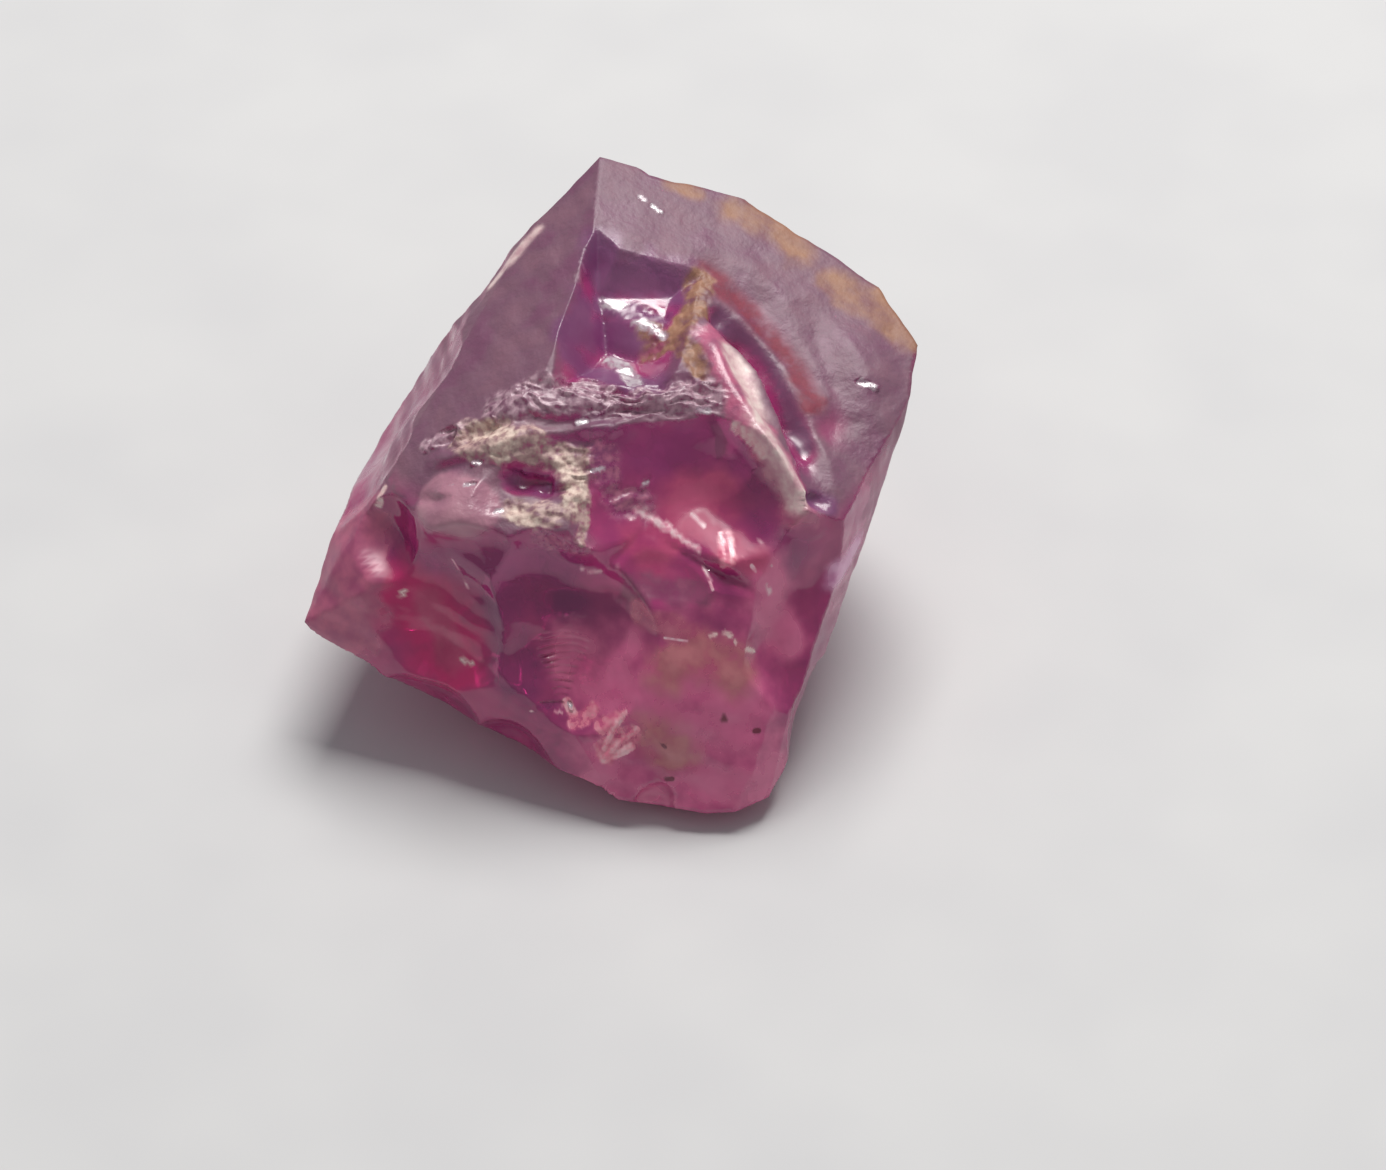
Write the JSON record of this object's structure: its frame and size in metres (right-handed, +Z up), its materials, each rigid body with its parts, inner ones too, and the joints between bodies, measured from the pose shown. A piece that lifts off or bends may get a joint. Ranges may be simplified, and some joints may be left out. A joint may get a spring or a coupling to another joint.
{
  "type": "raw spinel crystal",
  "caption": "Rough clear pink-purple spinel crystal: a broken, misshapen octahedron with smooth growth faces, a rough stepped top and conchoidal fractures, resting on a small flat.",
  "frame": {"origin": "middle of the crystal's bounding box at its base, on the surface it rests on", "axes": "+X to the right as seen from the fractured front, +Y away from the front, towards the apex, +Z up"},
  "size_m": [0.0076, 0.0075, 0.0053],
  "materials": {
    "spinel": "clear pink-purple crystal, glassy on fractures, frosted lilac on growth faces, with thin ochre and cream crust"
  },
  "bodies": {
    "root": {"spinel_crystal": "spinel"}
  },
  "joints": []
}
